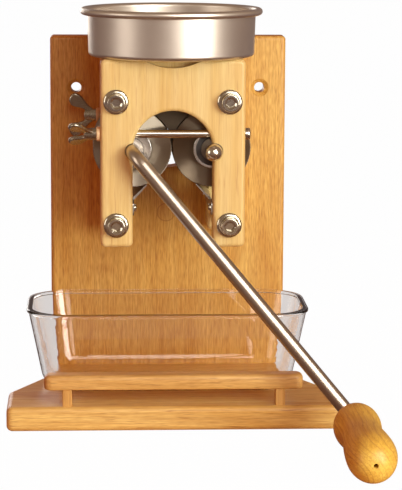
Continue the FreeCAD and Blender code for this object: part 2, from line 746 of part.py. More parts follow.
def adjusting_rod(rod):
    """M6 rod across a plate, with a domed head to the right of the plate."""
    head_x = PLATE_HALF + 2.0 * SLIDE_GAP
    shaft = rod_x(*rod, ROD_R, ROD_LEFT, head_x)
    shaft = shaft.makeChamfer(ROD_BREAK, edges_in_plane(shaft, "x", ROD_LEFT))
    head = rod_x(*rod, ROD_HEAD_R, head_x, head_x + ROD_HEAD_T)
    head = head.makeFillet(ROD_HEAD_ROUND, edges_in_plane(head, "x", head_x + ROD_HEAD_T))
    return shaft.fuse(head).removeSplitter()


def adjuster_washers():
    rings = []
    for rod in (FRONT_ROD, REAR_ROD):
        ring = rod_x(*rod, ADJ_WASHER_R, -PLATE_HALF - ADJ_WASHER_T, -PLATE_HALF)
        ring = ring.makeFillet(ADJ_WASHER_ROUND,
                               edges_in_plane(ring, "x", -PLATE_HALF - ADJ_WASHER_T))
        rings.append(ring.cut(rod_x(*rod, ROD_R + SLIDE_GAP, -BIG, BIG)))
    return group(rings)


def wing_ear(y, z, foot_x):
    """One ear: a paddle with round edges that leans outwards from the hub, in the XZ plane."""
    root = vec(foot_x - WING_EAR_OUTLINE[0][0], y, z + WING_EAR_OUTLINE[0][1])
    outline = [vec(foot_x - out, y, z + up) for out, up in WING_EAR_OUTLINE[1:]]
    curve = Part.BSplineCurve()
    curve.interpolate(outline)
    edges = [curve.toShape(), Part.LineSegment(outline[-1], root).toShape(),
             Part.LineSegment(root, outline[0]).toShape()]
    paddle = Part.Face(Part.Wire(edges)).extrude(vec(0, WING_EAR_T, 0))
    paddle.translate(vec(0, -WING_EAR_T / 2.0, 0))
    rims = [edge for edge in paddle.Edges if edge.BoundBox.YLength < 1e-3
            and edge.BoundBox.ZMax > z + WING_SPAN_R - 1.0]
    return paddle.makeFillet(WING_EAR_ROUND, rims)


def wing_nut(rod, turn):
    y, z = rod
    foot_x = -PLATE_HALF - ADJ_WASHER_T
    hub = Part.makeCone(WING_HUB_R, WING_HUB_TIP_R, WING_HUB_L, vec(foot_x, y, z), vec(-1, 0, 0))
    upper = wing_ear(y, z, foot_x)
    lower = upper.copy()
    lower.rotate(vec(0, y, z), AXIS_X, 180)
    nut = fuse_all([hub, upper, lower]).cut(rod_x(y, z, ROD_R + WING_BORE_PLAY, -BIG, BIG))
    nut.rotate(vec(0, y, z), AXIS_X, turn)
    return nut


# ---- scrapers ----------------------------------------------------------------------------

def scraper_tip_z():
    """Height of the blade's edge, a little below the roller's surface."""
    side = AXLE_X - SCRAPER_TIP_X
    return AXLE_Z - math.sqrt((ROLLER_R + SCRAPER_GAP) ** 2 - side ** 2)


def scraper_right():
    """Flat foot on the legs' inner faces, and a blade bent up to the roller."""
    wall = ARCH_R
    inner = wall - SCRAPER_T
    tip_z = scraper_tip_z()
    slope = math.atan2(tip_z - SCRAPER_BEND_Z, inner - SCRAPER_TIP_X)
    shift_x, shift_z = SCRAPER_T * math.sin(slope), SCRAPER_T * math.cos(slope)
    blade = prism_y([(wall, SCRAPER_BEND_Z - 1.0), (wall, SCRAPER_BEND_Z + 0.4),
                     (SCRAPER_TIP_X, tip_z),
                     (SCRAPER_TIP_X - 0.5 * shift_x, tip_z - shift_z),
                     (inner, SCRAPER_BEND_Z - 1.4)],
                    ROLLER_FRONT + SCRAPER_BLADE_INSET, ROLLER_REAR - SCRAPER_BLADE_INSET)
    foot = box(inner, wall, FRONT_PLATE_Y + SCRAPER_FLANGE_INSET, -SCRAPER_FLANGE_INSET,
               SCRAPER_FOOT_Z, SCRAPER_BEND_Z)
    foot = foot.makeFillet(2.5, [edge for edge in edges_along(foot, AXIS_X)])
    scraper = fuse_all([blade, foot])
    for screw in scraper_screw_shapes():
        scraper = scraper.cut(screw)
    return scraper


def scraper_left():
    return mirror_x(scraper_right())


def small_screw(place, direction):
    """Round-headed wood screw: the head's flat side is at the place, the shank goes on."""
    straight = SMALL_SCREW_L - SMALL_POINT_L
    shank = Part.makeCylinder(SMALL_SCREW_R, straight, place, direction)
    tip = Part.makeCone(SMALL_SCREW_R, POINT_FLAT_R, SMALL_POINT_L, place + direction * straight,
                        direction)
    head = Part.makeCylinder(SMALL_HEAD_R, SMALL_HEAD_H, place - direction * SMALL_HEAD_H, direction)
    outer = [edge for edge in head.Edges
             if (edge.BoundBox.Center - place).Length > SMALL_HEAD_H - 0.01
             and edge.Curve.TypeId == "Part::GeomCircle"]
    head = head.makeFillet(SMALL_HEAD_ROUND, outer)
    return fuse_all([head, shank, tip])


def scraper_screw_shapes():
    screws = []
    for side in (-1, 1):
        for y in (FRONT_PLATE_Y + FRONT_PLATE_T / 2.0, -REAR_PLATE_T / 2.0):
            place = vec(side * (ARCH_R - SCRAPER_T), y, SCRAPER_SCREW_Z)
            screws.append(small_screw(place, vec(side, 0, 0)))
    return screws


def slotted(screws, directions):
    """Cuts a straight driver slot into each head."""
    made = []
    for screw, direction in zip(screws, directions):
        limits = screw.BoundBox
        centre = limits.Center
        half, width, depth = SMALL_HEAD_R + 1.0, 0.4, 0.9
        if abs(direction.x) > 0.5:
            face = limits.XMin if direction.x > 0 else limits.XMax
            slot = box(face - depth, face + depth, centre.y - half, centre.y + half,
                       centre.z - width, centre.z + width)
        else:
            face = limits.YMin if direction.y > 0 else limits.YMax
            slot = box(centre.x - half, centre.x + half, face - depth, face + depth,
                       centre.z - width, centre.z + width)
        made.append(screw.cut(slot))
    return group(made)


def scraper_screws():
    sides = [vec(-1, 0, 0), vec(-1, 0, 0), vec(1, 0, 0), vec(1, 0, 0)]
    return slotted(scraper_screw_shapes(), sides)


# ---- hopper and feed chute ---------------------------------------------------------------

def revolve_about_z(points, x, y):
    """Solid of revolution over a closed outline of (radius, z) points."""
    wire = Part.makePolygon([vec(x + r, y, z) for r, z in points + points[:1]])
    return Part.Face(wire).revolve(vec(x, y, 0), AXIS_Z, 360)


def hopper():
    floor = PLATE_TOP
    lip = HOPPER_RIM_Z
    sheet = HOPPER_SHEET
    throat_z = floor - OUTLET_FALL
    outer = revolve_about_z([(0, OUTLET_FOOT_Z), (OUTLET_R, OUTLET_FOOT_Z), (OUTLET_R, throat_z),
                             (HOPPER_FLAT_R, floor), (HOPPER_WALL_FOOT_R, floor),
                             (HOPPER_WALL_TOP_R, lip), (0, lip)], 0, HOPPER_Y)
    corner = [edge for edge in edges_in_plane(outer, "z", floor)
              if edge.BoundBox.XLength > 2 * HOPPER_WALL_FOOT_R - 0.5]
    outer = outer.makeFillet(HOPPER_CORNER_R, corner)
    inner = revolve_about_z([(0, OUTLET_FOOT_Z - 1), (OUTLET_R - sheet, OUTLET_FOOT_Z - 1),
                             (OUTLET_R - sheet, throat_z + sheet), (HOPPER_FLAT_R, floor + sheet),
                             (HOPPER_WALL_FOOT_R - sheet, floor + sheet),
                             (HOPPER_WALL_TOP_R - sheet, lip + 1), (0, lip + 1)], 0, HOPPER_Y)
    corner = [edge for edge in edges_in_plane(inner, "z", floor + sheet)
              if edge.BoundBox.XLength > 2 * (HOPPER_WALL_FOOT_R - sheet) - 0.5]
    inner = inner.makeFillet(HOPPER_CORNER_R - sheet, corner)
    ring_r = HOPPER_WALL_TOP_R + BEAD_R - 0.2
    bead = Part.makeTorus(ring_r, BEAD_R, vec(0, HOPPER_Y, HOPPER_RIM_Z), AXIS_Z)
    return outer.cut(inner).fuse(bead).removeSplitter()


def cheek(y0, y1):
    """End wall of the chute: a plate whose lower part is a tongue between the rollers."""
    wall = prism_y([(-CHUTE_HALF, CHUTE_KNEE_Z), (-CHUTE_HALF, CHUTE_TOP), (CHUTE_HALF, CHUTE_TOP),
                    (CHUTE_HALF, CHUTE_KNEE_Z), (CHEEK_TIP_HALF, CHEEK_TIP_Z),
                    (-CHEEK_TIP_HALF, CHEEK_TIP_Z)], y0, y1)
    for x in (-AXLE_X, AXLE_X):
        wall = wall.cut(rod_y(x, AXLE_Z, ROLLER_R + CHEEK_GAP, y0 - 1, y1 + 1))
    return wall


def feed_chute():
    front_y, rear_y = FRONT_PLATE_BACK, REAR_PLATE_Y
    sheet = CHUTE_SHEET
    pieces = [cheek(front_y, front_y + sheet), cheek(rear_y - sheet, rear_y)]
    side = prism_y([(CHUTE_HALF, CHUTE_TOP), (CHUTE_HALF - sheet, CHUTE_TOP),
                    (CHUTE_HALF - sheet, CHUTE_KNEE_Z + 0.4),
                    (CHUTE_MOUTH_X - 0.4, CHUTE_MOUTH_Z + 0.8), (CHUTE_MOUTH_X + 0.4, CHUTE_MOUTH_Z),
                    (CHUTE_HALF, CHUTE_KNEE_Z)], front_y, rear_y)
    pieces += [side, mirror_x(side)]
    chute = fuse_all(pieces)
    for screw in chute_screw_shapes():
        chute = chute.cut(screw)
    return chute


def chute_screw_shapes():
    screws = []
    for x in (-CHUTE_SCREW_X, CHUTE_SCREW_X):
        front = vec(x, FRONT_PLATE_BACK + CHUTE_SHEET, CHUTE_SCREW_Z)
        rear = vec(x, REAR_PLATE_Y - CHUTE_SHEET, CHUTE_SCREW_Z)
        screws += [small_screw(front, vec(0, -1, 0)), small_screw(rear, vec(0, 1, 0))]
    return screws


def chute_screws():
    ways = [vec(0, -1, 0), vec(0, 1, 0), vec(0, -1, 0), vec(0, 1, 0)]
    return slotted(chute_screw_shapes(), ways)


# ---- glass dish --------------------------------------------------------------------------

def rounded_rectangle(half_x, half_y, radius, z):
    """Closed wire with four round corners about the dish's centre."""
    cut = radius * (1.0 - math.sqrt(0.5))
    x, y = half_x, half_y
    corners = [((x, y - radius), (x - cut, y - cut), (x - radius, y)),
               ((-x + radius, y), (-x + cut, y - cut), (-x, y - radius)),
               ((-x, -y + radius), (-x + cut, -y + cut), (-x + radius, -y)),
               ((x - radius, -y), (x - cut, -y + cut), (x, -y + radius))]

    def at(point):
        return vec(DISH_X + point[0], DISH_Y + point[1], z)

    edges = []
    for i, (a, b, c) in enumerate(corners):
        edges.append(Part.Arc(at(a), at(b), at(c)).toShape())
        edges.append(Part.LineSegment(at(c), at(corners[(i + 1) % 4][0])).toShape())
    return Part.Wire(edges)


def dish_body(inset, z0, z1, foot_round):
    """Flared block with round corners, from z0 to z1, set in from the outer skin."""
    height = DISH_TOP - BASE_T

    def section(z):
        lean = DISH_FLARE * (DISH_TOP - z) / height
        return rounded_rectangle(DISH_HALF_X - inset - lean, DISH_HALF_Y - inset - lean,
                                 DISH_CORNER_R - inset - 0.5 * lean, z)

    block = Part.makeLoft([section(z0), section(z1)], True, True)
    return block.makeFillet(foot_round, edges_in_plane(block, "z", z0))


def glass_dish():
    foot = BASE_T
    outer = dish_body(0, foot, DISH_TOP, DISH_FOOT_R)
    lip_z = DISH_TOP - DISH_LIP_H
    lip_wire = rounded_rectangle(DISH_HALF_X + DISH_LIP, DISH_HALF_Y + DISH_LIP,
                                 DISH_CORNER_R + DISH_LIP, lip_z)
    lip = Part.Face(lip_wire).extrude(vec(0, 0, DISH_LIP_H))
    rims = edges_in_plane(lip, "z", lip_z) + edges_in_plane(lip, "z", DISH_TOP)
    lip = lip.makeFillet(DISH_LIP_ROUND, rims)
    inner = dish_body(DISH_WALL, foot + DISH_WALL, DISH_TOP + 2.0, DISH_FOOT_R - DISH_WALL)
    return outer.fuse(lip).cut(inner).removeSplitter()


# ---- rail in front of the dish -----------------------------------------------------------

def post_y():
    return -RAIL_FRONT + POST_SETBACK + POST_DEPTH / 2.0


def dish_rail():
    bar = box(-RAIL_HALF, RAIL_HALF, -RAIL_FRONT, -RAIL_FRONT + RAIL_DEPTH, RAIL_BOTTOM, RAIL_TOP)
    bar = bar.makeFillet(RAIL_END_R, edges_along(bar, AXIS_Z))
    bar = bar.makeFillet(RAIL_ROUND, edges_in_plane(bar, "z", RAIL_TOP))
    bar = bar.makeFillet(RAIL_LOWER_ROUND, edges_in_plane(bar, "z", RAIL_BOTTOM))
    for screw in rail_screw_shapes():
        bar = bar.cut(screw)
    return bar


def rail_posts():
    posts = []
    for x, screw in zip((-POST_X, POST_X), rail_screw_shapes()):
        post = box(x - POST_W / 2.0, x + POST_W / 2.0, post_y() - POST_DEPTH / 2.0,
                   post_y() + POST_DEPTH / 2.0, BASE_T, RAIL_BOTTOM)
        post = post.makeFillet(POST_ROUND, edges_along(post, AXIS_Z))
        posts.append(post.cut(screw))
    return group(posts)


# ---- sub-parts ---------------------------------------------------------------------------

PARTS = {
    "base_board": base_board,
    "back_board": back_board,
    "board_screws": lambda: with_recesses(board_screw_shapes(), 4.6),
    "rear_plate": rear_plate,
    "front_plate": front_plate,
    "spacer_tubes": spacer_tubes,
    "plate_screws": plate_screws,
    "plate_washers": plate_washers,
    "back_washers": back_washers,
    "back_nuts": back_nuts,
    "crank_bar": crank_bar,
    "drive_roller": drive_roller,
    "drive_key": drive_key,
    "drive_spacers": lambda: shaft_spacers(-AXLE_X),
    "drive_bearing_outer_rings": lambda: outer_rings(-AXLE_X),
    "drive_bearing_inner_rings": lambda: inner_rings(-AXLE_X),
    "drive_bearing_balls": lambda: bearing_balls(-AXLE_X),
    "drive_bearing_seals": lambda: bearing_seals(-AXLE_X),
    "idler_roller": idler_roller,
    "idler_shaft": idler_shaft,
    "ball_end": ball_end,
    "idler_spacers": lambda: shaft_spacers(AXLE_X),
    "idler_bearing_outer_rings": lambda: outer_rings(AXLE_X),
    "idler_bearing_inner_rings": lambda: inner_rings(AXLE_X),
    "idler_bearing_balls": lambda: bearing_balls(AXLE_X),
    "idler_bearing_seals": lambda: bearing_seals(AXLE_X),
    "adjusting_rod_front": lambda: adjusting_rod(FRONT_ROD),
    "adjusting_rod_rear": lambda: adjusting_rod(REAR_ROD),
    "wing_nut_front": lambda: wing_nut(FRONT_ROD, WING_FRONT_TURN),
    "wing_nut_rear": lambda: wing_nut(REAR_ROD, WING_REAR_TURN),
    "adjuster_washers": adjuster_washers,
    "scraper_left": scraper_left,
    "scraper_right": scraper_right,
    "scraper_screws": scraper_screws,
    "hopper": hopper,
    "feed_chute": feed_chute,
    "chute_screws": chute_screws,
    "glass_dish": glass_dish,
    "dish_rail": dish_rail,
    "rail_posts": rail_posts,
    "rail_screws": lambda: with_recesses(rail_screw_shapes(), 3.4),
    "grip": grip,
    "grip_ring": grip_ring,
}


def main():
    os.makedirs("parts", exist_ok=True)
    for name, make in PARTS.items():
        shape = make()
        if not shape.isValid():
            print("invalid:", name)
        limits = shape.BoundBox
        print(f"{name:28s} solids {len(shape.Solids):3d}  volume {shape.Volume / 1000.0:9.3f} cm3  "
              f"x {limits.XMin:7.1f} {limits.XMax:7.1f}  y {limits.YMin:7.1f} {limits.YMax:7.1f}  "
              f"z {limits.ZMin:7.1f} {limits.ZMax:7.1f}")
        shape.exportStep(f"parts/{name}.step")


main()
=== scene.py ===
import json
import math

import bpy
from mathutils import Matrix, Vector


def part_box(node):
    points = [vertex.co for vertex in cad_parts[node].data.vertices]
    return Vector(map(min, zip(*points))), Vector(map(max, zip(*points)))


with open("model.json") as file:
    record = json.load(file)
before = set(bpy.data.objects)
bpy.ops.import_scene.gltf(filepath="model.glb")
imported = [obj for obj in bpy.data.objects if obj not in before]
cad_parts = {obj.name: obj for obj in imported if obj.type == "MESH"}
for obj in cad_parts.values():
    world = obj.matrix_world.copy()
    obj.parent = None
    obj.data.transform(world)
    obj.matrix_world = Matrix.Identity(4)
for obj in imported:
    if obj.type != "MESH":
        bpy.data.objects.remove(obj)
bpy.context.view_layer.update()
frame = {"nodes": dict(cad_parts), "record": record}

# ---- camera, lamps and stage, in metres, from the frame ------------------------------------

MM = 0.001
IMAGE_WIDTH, IMAGE_HEIGHT = 402, 490

# the camera that the photograph was taken with
CAMERA_PLACE = Vector((-0.0609, -1.6975, 0.3954))
CAMERA_YAW = math.radians(2.934)      # towards +X
CAMERA_PITCH = math.radians(9.385)    # downwards
CAMERA_ROLL = math.radians(0.269)
CAMERA_CLIP = (0.05, 20.0)            # nearest and farthest seen
FOCAL_PIXELS = 2198.4
SENSOR = 36.0                         # in millimetres

# Soft boxes. Azimuth and height are in degrees, the azimuth to the right of the camera's side,
# and power is in watts. With on_matt False only shiny surfaces see the lamp.
LAMP_AIM = Vector((0.0, -0.06, 0.16))
LAMPS = {
    "key": dict(azimuth=36.0, height=8.0, distance=1.7, wide=0.64, tall=0.80, power=20.0,
                colour=(1.0, 0.98, 0.90)),
    "upper": dict(azimuth=11.0, height=24.0, distance=1.7, wide=0.80, tall=0.60, power=7.0,
                  colour=(1.0, 0.97, 0.91)),
    "side": dict(azimuth=33.0, height=32.0, distance=1.7, wide=0.45, tall=0.35, power=10.0,
                 colour=(1.0, 0.97, 0.92), on_matt=False),
    "front": dict(azimuth=12.0, height=6.0, distance=1.7, wide=0.35, tall=0.35, power=1.2,
                  colour=(1.0, 0.98, 0.93), on_matt=False),
    "fill": dict(azimuth=-66.0, height=8.0, distance=1.9, wide=0.80, tall=1.20, power=7.0,
                 colour=(1.0, 0.94, 0.85), on_matt=False),
    "back": dict(azimuth=200.0, height=8.0, distance=2.1, wide=0.80, tall=0.80, power=7.0,
                 colour=(1.0, 0.97, 0.92)),
}
WORLD_COLOUR = (1.0, 0.19, 0.05, 1)       # as it lights matt surfaces
WORLD_MIRRORED = (0.90, 0.60, 0.40, 1)    # as metal and glass mirror it
WORLD_STRENGTH = 0.36

# The sweep: a floor that bends up into a backdrop. Each glow is a share of its look that is
# plain white, and the rest is a dull colour that takes light and shadow.
FLOOR_DROP = 0.4 * MM                 # below the base, so that the two don't share a plane
FLOOR_HALF = 4.5
BACKDROP_Y = 4.2
BACKDROP_TOP = 5.0
BACKDROP_BEND = 0.8
BEND_STEPS = 12
GLOW_SEEN = 0.99                      # where the camera sees the sweep
GLOW_THROUGH = 0.70                   # where it is seen through glass
GLOW_MIRRORED = (0.03, 0.13)          # where metal mirrors it near the object, and far from it
FAR_BEGINS = (0.45, 0.90)             # distances between which near turns into far
PAPER = (0.80, 0.55, 0.36, 1)         # the dull colour near the object
ROOM = (0.25, 0.165, 0.095, 1)        # and far from it, and in every mirror

# ---- finishes ------------------------------------------------------------------------------

# round mark of a wooden plug in the back board
PLUG_X, PLUG_Z, PLUG_R = -1.4 * MM, 140.6 * MM, 6.8 * MM
PLUG_RING = 0.9 * MM

# the middle of the tree that the grip was turned from lies beside the grip
GRIP_LOW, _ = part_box("grip")
GRIP_PITH = (GRIP_LOW.x - 6.0 * MM, GRIP_LOW.z + 2.0 * MM)

# Beech by finish. Light and dark are its slow bands. The shares say how strongly its flecks,
# streaks and ticks show, and reach makes the grain longer.
BEECHES = {
    "board_beech": dict(axis="Z", light=(0.92, 0.655, 0.180), dark=(0.76, 0.445, 0.085),
                        fleck=(0.32, 0.09, 0.02), fleck_share=0.75, tick_share=1.0, plug=True),
    "base_beech": dict(axis="X", light=(0.97, 0.79, 0.290), dark=(0.85, 0.58, 0.150),
                       fleck=(0.38, 0.15, 0.035), fleck_share=0.9, tick_share=0.5, reach=1.3),
    "plate_beech": dict(axis="Z", light=(0.89, 0.76, 0.350), dark=(0.80, 0.59, 0.200),
                        fleck=(0.50, 0.24, 0.08), fleck_share=0.5, streak_share=0.5, reach=1.6),
    "rail_beech": dict(axis="X", light=(0.88, 0.64, 0.23), dark=(0.74, 0.48, 0.130),
                       fleck=(0.34, 0.15, 0.04), fleck_share=0.9, tick_share=0.6),
    "post_beech": dict(axis="Z", light=(0.86, 0.60, 0.20), dark=(0.73, 0.45, 0.12),
                       fleck=(0.38, 0.16, 0.04), fleck_share=0.6),
    "grip_beech": dict(axis="Y", light=(0.98, 0.80, 0.165), dark=(0.91, 0.63, 0.095),
                       fleck=(0.42, 0.16, 0.03), fleck_share=0.4, reach=1.5, pith=GRIP_PITH),
}

# Layers of the grain: waves per metre along it and across it, and the noise's own settings.
GRAIN = {
    "bands": dict(waves=(5.0, 52.0), detail=4.0, distortion=1.1),
    "streaks": dict(waves=(16.0, 620.0), detail=4.0, roughness=0.62),
    "pores": dict(waves=(90.0, 2300.0), detail=2.0),
    "flecks": dict(waves=(70.0, 1150.0), detail=1.5),
    "ticks": dict(waves=(120.0, 1000.0), detail=1.0),
}
STREAK_TINT = (0.66, 0.50, 0.34, 1)
TICK_TINT = (0.70, 0.50, 0.32, 1)

# Bare steel by finish. Swing is how far its roughness strays, and hairs are the waves per metre
# of its brushed or turned lines: one number, or one along each axis.
STEELS = {
    "polished_steel": dict(colour=(0.66, 0.59, 0.50), rough=0.17, swing=0.03),
    "bar_steel": dict(colour=(0.55, 0.46, 0.375), rough=0.30, swing=0.03,
                      hairs=500.0, hair_depth=0.03),
    "satin_steel": dict(colour=(0.74, 0.66, 0.58), rough=0.37, swing=0.02,
                        hairs=(26.0, 26.0, 2600.0), hair_depth=0.008,
                        anisotropy=0.30, turned_about="Z"),
    "sheet_steel": dict(colour=(0.50, 0.47, 0.43), rough=0.33,
                        hairs=(1800.0, 60.0, 1800.0), hair_depth=0.08),
    # painted shade: the feed chute's steel is nearly black so that it stands for the shade above
    # the nip
    "shade_dark_sheet": dict(colour=(0.075, 0.055, 0.038), rough=0.42,
                       hairs=(1400.0, 90.0, 1400.0), hair_depth=0.08),
    "zinc_steel": dict(colour=(0.62, 0.57, 0.46), rough=0.14, swing=0.04),
    "nut_steel": dict(colour=(0.44, 0.39, 0.31), rough=0.25, swing=0.07),
    "bearing_steel": dict(colour=(0.58, 0.56, 0.53), rough=0.22, swing=0.05),
    # painted shade: a darker, duller copy of bearing steel for the idler's rings, which lie in
    # shade
    "dull_shaded_bearing_steel": dict(colour=(0.20, 0.165, 0.13), rough=0.36, swing=0.05),
}

# colours of the two rollers' turned steel, the idler's darker than the drive's as painted shade;
# the spiral of its marks turns the fan of light
ROLLER_COLOURS_WITH_PAINTED_SHADE = {"drive": (0.40, 0.345, 0.275), "idler": (0.25, 0.195, 0.140)}
TURNED_ROUGH = 0.37
TURNED_SPIRAL = 0.16

SEAL_COLOUR = (0.030, 0.027, 0.025)
SEAL_DUST = (0.16, 0.14, 0.12, 1)
NYLON_COLOUR = (0.86, 0.66, 0.36)
GLASS_TINT = (0.985, 0.965, 0.950, 1)
GLASS_HAZE = (0.955, 0.930, 0.915, 1)
GLASS_SHADOW = (0.93, 0.90, 0.87, 1)      # what light keeps that goes straight through it
IOR = 1.47                                # of the oil on the wood, and of the glass

# stretches of a noise's 0..1 that its values mostly fill
MIDDLE, WIDE = (0.3, 0.7), (0.25, 0.75)

# nodes whose finish isn't simply their record slot's
SPECIAL_FINISH = {
    "base_board": "base_beech", "rail_posts": "post_beech",
    "drive_roller": "turned_steel_drive", "idler_roller": "turned_steel_idler",
    # painted shade: the idler's bearing rings take the darkened copy of bearing steel
    "crank_bar": "bar_steel", "idler_bearing_inner_rings": "dull_shaded_bearing_steel",
    "wing_nut_front": "nut_steel", "wing_nut_rear": "nut_steel",
    # painted shade: the feed chute takes the nearly black steel
    "feed_chute": "shade_dark_sheet", "scraper_left": "sheet_steel", "scraper_right": "sheet_steel",
    "spacer_tubes": "sheet_steel", "drive_spacers": "sheet_steel", "idler_spacers": "sheet_steel",
}


# ---- node helpers --------------------------------------------------------------------------

def add(tree, kind, settings=None, inputs=None):
    """Adds a shader node, with settings on the node and values or links on its inputs."""
    made = tree.nodes.new("ShaderNode" + kind)
    for key, value in (settings or {}).items():
        setattr(made, key, value)
    for key, value in (inputs or {}).items():
        if isinstance(value, bpy.types.NodeSocket):
            tree.links.new(value, made.inputs[key])
        else:
            made.inputs[key].default_value = value
    return made


def new_material(name):
    """A material with an empty tree, its output node and its coordinates in the row frame."""
    material = bpy.data.materials.new(name)
    material.use_nodes = True
    tree = material.node_tree
    tree.nodes.clear()
    output = add(tree, "OutputMaterial")
    place = add(tree, "TexCoord").outputs["Object"]
    return material, tree, output, place


def opaque(colour, factor=1.0):
    """RGBA from RGB, made darker by factor."""
    return tuple(factor * c for c in colour) + (1,)


def noise(tree, place, waves, detail=3.0, roughness=0.55, distortion=0.0):
    """Noise with so many waves per metre: one number, or one each along X, Y and Z."""
    scale = waves if isinstance(waves, tuple) else (waves,) * 3
    stretched = add(tree, "Mapping", inputs={"Vector": place, "Scale": scale})
    made = add(tree, "TexNoise", inputs={
        "Vector": stretched.outputs["Vector"], "Scale": 1.0, "Detail": detail,
        "Roughness": roughness, "Distortion": distortion})
    return made.outputs["Fac"]


def ring_noise(tree, radius, waves, roughness=0.5):
    """Noise that changes with the radius alone, with so many waves per metre of it."""
    made = add(tree, "TexNoise", {"noise_dimensions": "1D"}, {
        "W": radius, "Scale": waves, "Detail": 2.0, "Roughness": roughness})
    return made.outputs["Fac"]


def distance_to_line(tree, place, x, z):
    """Distance from the line along Y that goes through x and z."""
    centre = add(tree, "CombineXYZ", inputs={"X": x, "Z": z})
    flat = add(tree, "VectorMath", {"operation": "MULTIPLY"}, {0: place, 1: (1, 0, 1)})
    made = add(tree, "VectorMath", {"operation": "DISTANCE"}, {
        0: flat.outputs["Vector"], 1: centre.outputs["Vector"]})
    return made.outputs["Value"]


def spread(tree, value, source, target=(0.0, 1.0)):
    """Takes value from the range source to the range target, and stops it at both ends."""
    made = add(tree, "MapRange", {"clamp": True}, {
        "Value": value, "From Min": source[0], "From Max": source[1],
        "To Min": target[0], "To Max": target[1]})
    return made.outputs["Result"]


def calc(tree, operation, *values):
    return add(tree, "Math", {"operation": operation}, dict(enumerate(values))).outputs["Value"]


def blend_colour(tree, share, first, second, how="MIX"):
    made = add(tree, "MixRGB", {"blend_type": how},
               {"Fac": share, "Color1": first, "Color2": second})
    return made.outputs["Color"]


def tint_where(tree, value, source, depth, colour, tint):
    """Multiplies colour by tint, by more as value rises through source, and by depth at most."""
    share = spread(tree, value, source, (0.0, depth))
    return blend_colour(tree, share, colour, tint, "MULTIPLY")


def bump(tree, height, strength, distance):
    return add(tree, "Bump", inputs={
        "Height": height, "Strength": strength, "Distance": distance}).outputs["Normal"]


def tangent_about(tree, axis):
    return add(tree, "Tangent", {"direction_type": "RADIAL", "axis": axis}).outputs["Tangent"]


def principled(tree, output, inputs):
    shader = add(tree, "BsdfPrincipled", inputs=inputs)
    tree.links.new(shader.outputs["BSDF"], output.inputs["Surface"])


def blend_shaders(tree, output, share, first, second):
    """Gives the output first, and second by share."""
    mixed = add(tree, "MixShader", inputs={0: share, 1: first, 2: second})
    tree.links.new(mixed.outputs["Shader"], output.inputs["Surface"])


# ---- materials -----------------------------------------------------------------------------

def grain(tree, place, axis, layer, reach=1.0):
    """One layer of GRAIN, longer by reach along the axis."""
    settings = dict(GRAIN[layer])
    lengthwise, across = settings.pop("waves")
    waves = tuple(lengthwise / reach if letter == axis else across for letter in "XYZ")
    return noise(tree, place, waves, **settings)


def beech(name, light, dark, fleck, axis, fleck_share=1.0, streak_share=1.0, tick_share=0.0,
          reach=1.0, plug=False, pith=None):
    """Oiled beech with its grain along axis. With a pith, year rings about it show too."""
    material, tree, output, place = new_material(name)
    bands = grain(tree, place, axis, "bands", reach)
    streaks = grain(tree, place, axis, "streaks", reach)
    pores = grain(tree, place, axis, "pores", reach)
    flecks = grain(tree, place, axis, "flecks", reach)
    ticks = grain(tree, place, axis, "ticks")
    colour = blend_colour(tree, spread(tree, bands, (0.32, 0.70)), opaque(dark), opaque(light))
    colour = tint_where(tree, streaks, (0.35, 0.70), 0.62 * streak_share, colour, STREAK_TINT)
    colour = tint_where(tree, pores, (0.45, 0.72), 0.55 * streak_share, colour, STREAK_TINT)
    colour = tint_where(tree, ticks, (0.40, 0.70), 0.62 * tick_share, colour, TICK_TINT)
    mark = spread(tree, flecks, (0.62, 0.72), (0.0, 0.75 * fleck_share))
    colour = blend_colour(tree, mark, colour, opaque(fleck))
    if pith:
        colour = growth_rings(tree, place, colour, pith, fleck)
    if plug:
        colour = plug_mark(tree, place, colour, fleck)
    height = calc(tree, "SUBTRACT", streaks, mark)
    principled(tree, output, {
        "Base Color": colour, "Roughness": spread(tree, streaks, WIDE, (0.34, 0.48)),
        "IOR": IOR, "Normal": bump(tree, height, 0.18, 0.15 * MM)})
    return material


def growth_rings(tree, place, colour, pith, fleck):
    """Year rings about a line along Y: long lines on the sides, arcs on the end grain."""
    warp = noise(tree, place, (55.0, 9.0, 55.0), detail=2.0)
    radius = distance_to_line(tree, place, *pith)
    bent = calc(tree, "ADD", radius, calc(tree, "MULTIPLY", warp, 5.0 * MM))
    rings = ring_noise(tree, bent, 620.0, roughness=0.6)
    share = spread(tree, rings, (0.52, 0.72), (0.0, 0.38))
    return blend_colour(tree, share, colour, opaque(fleck))


def plug_mark(tree, place, colour, fleck):
    """A thin darker ring and a faint disc where a round plug sits in the board."""
    distance = distance_to_line(tree, place, PLUG_X, PLUG_Z)
    off = calc(tree, "ABSOLUTE", calc(tree, "SUBTRACT", distance, PLUG_R))
    ring = spread(tree, off, (0.0, PLUG_RING), (0.55, 0.0))
    disc = spread(tree, distance, (PLUG_R, 0.8 * PLUG_R), (0.0, 0.18))
    return blend_colour(tree, calc(tree, "MAXIMUM", ring, disc), colour, opaque(fleck))


def steel(name, colour, rough, swing=0.06, hairs=1800.0, hair_depth=0.0, anisotropy=0.0,
          turned_about=None):
    """Bare steel with slow stains and fine hairs, and highlights drawn out about an axis."""
    material, tree, output, place = new_material(name)
    stains = noise(tree, place, 60.0, detail=4.0)
    fine = noise(tree, place, hairs, detail=2.0)
    shade = blend_colour(tree, spread(tree, stains, MIDDLE, (0.0, 0.3)), opaque(colour),
                         opaque(colour, 0.80))
    inputs = {"Base Color": shade, "Metallic": 1.0, "Anisotropic": anisotropy,
              "Roughness": spread(tree, fine, WIDE, (rough - swing, rough + swing)),
              "Normal": bump(tree, fine, hair_depth, 0.06 * MM)}
    if turned_about:
        inputs["Tangent"] = tangent_about(tree, turned_about)
    principled(tree, output, inputs)
    return material


